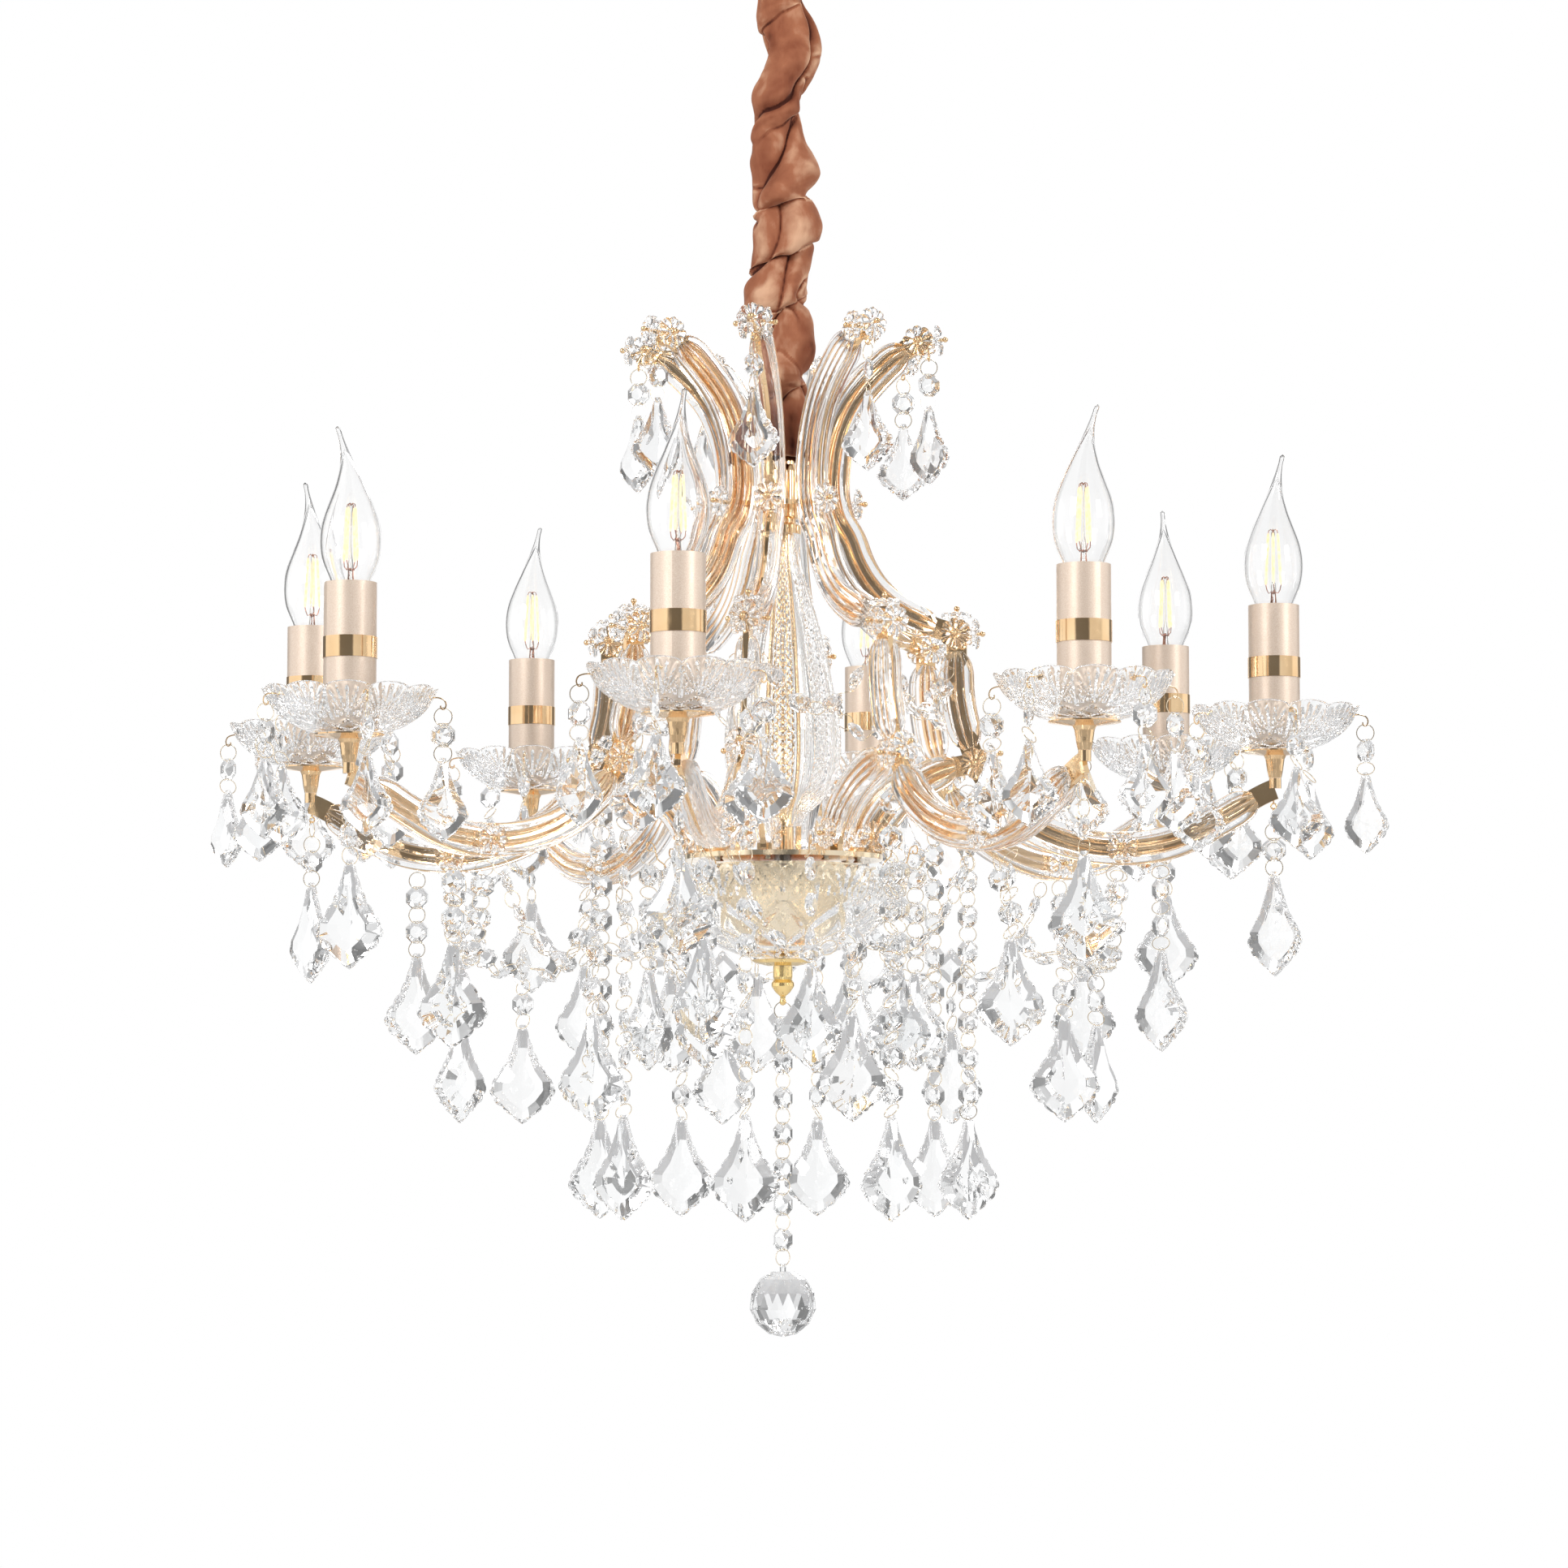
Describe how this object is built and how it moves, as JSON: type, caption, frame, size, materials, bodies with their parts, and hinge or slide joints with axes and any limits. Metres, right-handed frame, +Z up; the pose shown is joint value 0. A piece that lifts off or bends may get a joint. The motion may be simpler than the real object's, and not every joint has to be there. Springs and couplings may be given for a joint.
{
  "type": "multi arm chandelier",
  "caption": "Crystal chandelier with curved glass-clad gilt arms, candle lamps, pendant drops and a velvet-covered chain.",
  "frame": {"origin": "on the ceiling plane at the middle of the ceiling bracket", "axes": "+Z up out of the ceiling bracket, the light hangs along -Z; -Y is the front"},
  "size_m": [0.6966, 0.6966, 0.866],
  "materials": {
    "gilt_metal": "polished warm gilt",
    "zinc_steel": "bright zinc",
    "clear_glass": "clear pressed glass",
    "cut_crystal": "clear cut crystal",
    "bulb_glass": "clear blown glass",
    "cap_metal": "nickel plated",
    "filament": "lit filament",
    "champagne_sleeve": "satin champagne",
    "holder_plastic": "moulded",
    "velvet": "crushed velvet"
  },
  "bodies": {
    "ceiling": {"ceiling_bracket": "zinc_steel", "ceiling_hook": "zinc_steel", "canopy": "gilt_metal", "canopy_ring": "gilt_metal", "terminal_block": "holder_plastic"},
    "upper_link": {"first_chain_link": "zinc_steel"},
    "chandelier": {"chain": "zinc_steel", "velvet_sleeve": "velvet", "top_loop": "gilt_metal", "crown_hub": "gilt_metal", "crown_plate": "gilt_metal", "centre_rod": "zinc_steel", "core_tube": "gilt_metal", "glass_vase": "clear_glass", "lower_spindle": "gilt_metal", "arm_plate": "gilt_metal", "inner_dish": "gilt_metal", "glass_bowl": "clear_glass", "bowl_washer": "gilt_metal", "finial": "gilt_metal", "fixing_screws": "zinc_steel", "arm_1": "gilt_metal", "arm_2": "gilt_metal", "arm_3": "gilt_metal", "arm_4": "gilt_metal", "arm_5": "gilt_metal", "arm_6": "gilt_metal", "arm_7": "gilt_metal", "arm_8": "gilt_metal", "arm_glass_bars": "clear_glass", "rosettes": "clear_glass", "rosette_pins": "gilt_metal", "drip_pans": "gilt_metal", "bobeches": "clear_glass", "candle_sleeves": "champagne_sleeve", "sleeve_bands": "gilt_metal", "lampholders": "holder_plastic", "bulb_glass": "bulb_glass", "bulb_caps": "cap_metal", "filament_stems": "filament", "bobeche_drops": "cut_crystal", "garlands": "cut_crystal"},
    "crown_drop_1_body": {"crown_drop_1": "cut_crystal"},
    "crown_drop_2_body": {"crown_drop_2": "cut_crystal"},
    "crown_drop_3_body": {"crown_drop_3": "cut_crystal"},
    "crown_drop_4_body": {"crown_drop_4": "cut_crystal"},
    "crown_drop_5_body": {"crown_drop_5": "cut_crystal"},
    "crown_drop_6_body": {"crown_drop_6": "cut_crystal"},
    "crown_drop_7_body": {"crown_drop_7": "cut_crystal"},
    "crown_drop_8_body": {"crown_drop_8": "cut_crystal"},
    "knee_strand_1_body": {"knee_strand_1": "cut_crystal"},
    "knee_strand_2_body": {"knee_strand_2": "cut_crystal"},
    "knee_strand_3_body": {"knee_strand_3": "cut_crystal"},
    "knee_strand_4_body": {"knee_strand_4": "cut_crystal"},
    "knee_strand_5_body": {"knee_strand_5": "cut_crystal"},
    "knee_strand_6_body": {"knee_strand_6": "cut_crystal"},
    "knee_strand_7_body": {"knee_strand_7": "cut_crystal"},
    "knee_strand_8_body": {"knee_strand_8": "cut_crystal"},
    "centre_strand": {"ball_strand": "cut_crystal", "crystal_ball": "cut_crystal"}
  },
  "joints": [
    {"name": "swing_front_back", "type": "hinge", "parent": "ceiling", "child": "upper_link", "pos_m": [0, 0, -0.0655], "axis": [1, 0, 0], "range_deg": [-5, 5]},
    {"name": "swing_side", "type": "hinge", "parent": "upper_link", "child": "chandelier", "pos_m": [0, 0, -0.0844], "axis": [0, 1, 0], "range_deg": [-5, 5]},
    {"name": "crown_drop_1_swing", "type": "hinge", "parent": "chandelier", "child": "crown_drop_1_body", "pos_m": [-0.01708, -0.08786, -0.2822], "axis": [0.9816, -0.1908, 0], "range_deg": [-12, 12]},
    {"name": "crown_drop_2_swing", "type": "hinge", "parent": "chandelier", "child": "crown_drop_2_body", "pos_m": [0.05005, -0.0742, -0.2822], "axis": [0.829, 0.5592, 0], "range_deg": [-12, 12]},
    {"name": "crown_drop_3_swing", "type": "hinge", "parent": "chandelier", "child": "crown_drop_3_body", "pos_m": [0.08786, -0.01708, -0.2822], "axis": [0.1908, 0.9816, 0], "range_deg": [-12, 12]},
    {"name": "crown_drop_4_swing", "type": "hinge", "parent": "chandelier", "child": "crown_drop_4_body", "pos_m": [0.0742, 0.05005, -0.2822], "axis": [-0.5592, 0.829, 0], "range_deg": [-12, 12]},
    {"name": "crown_drop_5_swing", "type": "hinge", "parent": "chandelier", "child": "crown_drop_5_body", "pos_m": [0.01708, 0.08786, -0.2822], "axis": [-0.9816, 0.1908, 0], "range_deg": [-12, 12]},
    {"name": "crown_drop_6_swing", "type": "hinge", "parent": "chandelier", "child": "crown_drop_6_body", "pos_m": [-0.05005, 0.0742, -0.2822], "axis": [-0.829, -0.5592, 0], "range_deg": [-12, 12]},
    {"name": "crown_drop_7_swing", "type": "hinge", "parent": "chandelier", "child": "crown_drop_7_body", "pos_m": [-0.08786, 0.01708, -0.2822], "axis": [-0.1908, -0.9816, 0], "range_deg": [-12, 12]},
    {"name": "crown_drop_8_swing", "type": "hinge", "parent": "chandelier", "child": "crown_drop_8_body", "pos_m": [-0.0742, -0.05005, -0.2822], "axis": [0.5592, -0.829, 0], "range_deg": [-12, 12]},
    {"name": "knee_strand_1_swing", "type": "hinge", "parent": "chandelier", "child": "knee_strand_1_body", "pos_m": [-0.02137, -0.10994, -0.5392], "axis": [0.9816, -0.1908, 0], "range_deg": [-5, 5]},
    {"name": "knee_strand_2_swing", "type": "hinge", "parent": "chandelier", "child": "knee_strand_2_body", "pos_m": [0.06263, -0.09285, -0.5392], "axis": [0.829, 0.5592, 0], "range_deg": [-5, 5]},
    {"name": "knee_strand_3_swing", "type": "hinge", "parent": "chandelier", "child": "knee_strand_3_body", "pos_m": [0.10994, -0.02137, -0.5392], "axis": [0.1908, 0.9816, 0], "range_deg": [-5, 5]},
    {"name": "knee_strand_4_swing", "type": "hinge", "parent": "chandelier", "child": "knee_strand_4_body", "pos_m": [0.09285, 0.06263, -0.5392], "axis": [-0.5592, 0.829, 0], "range_deg": [-5, 5]},
    {"name": "knee_strand_5_swing", "type": "hinge", "parent": "chandelier", "child": "knee_strand_5_body", "pos_m": [0.02137, 0.10994, -0.5392], "axis": [-0.9816, 0.1908, 0], "range_deg": [-5, 5]},
    {"name": "knee_strand_6_swing", "type": "hinge", "parent": "chandelier", "child": "knee_strand_6_body", "pos_m": [-0.06263, 0.09285, -0.5392], "axis": [-0.829, -0.5592, 0], "range_deg": [-5, 5]},
    {"name": "knee_strand_7_swing", "type": "hinge", "parent": "chandelier", "child": "knee_strand_7_body", "pos_m": [-0.10994, 0.02137, -0.5392], "axis": [-0.1908, -0.9816, 0], "range_deg": [-5, 5]},
    {"name": "knee_strand_8_swing", "type": "hinge", "parent": "chandelier", "child": "knee_strand_8_body", "pos_m": [-0.09285, -0.06263, -0.5392], "axis": [0.5592, -0.829, 0], "range_deg": [-5, 5]},
    {"name": "centre_strand_swing", "type": "hinge", "parent": "chandelier", "child": "centre_strand", "pos_m": [0, 0, -0.6668], "axis": [1, 0, 0], "range_deg": [-6, 6]}
  ]
}
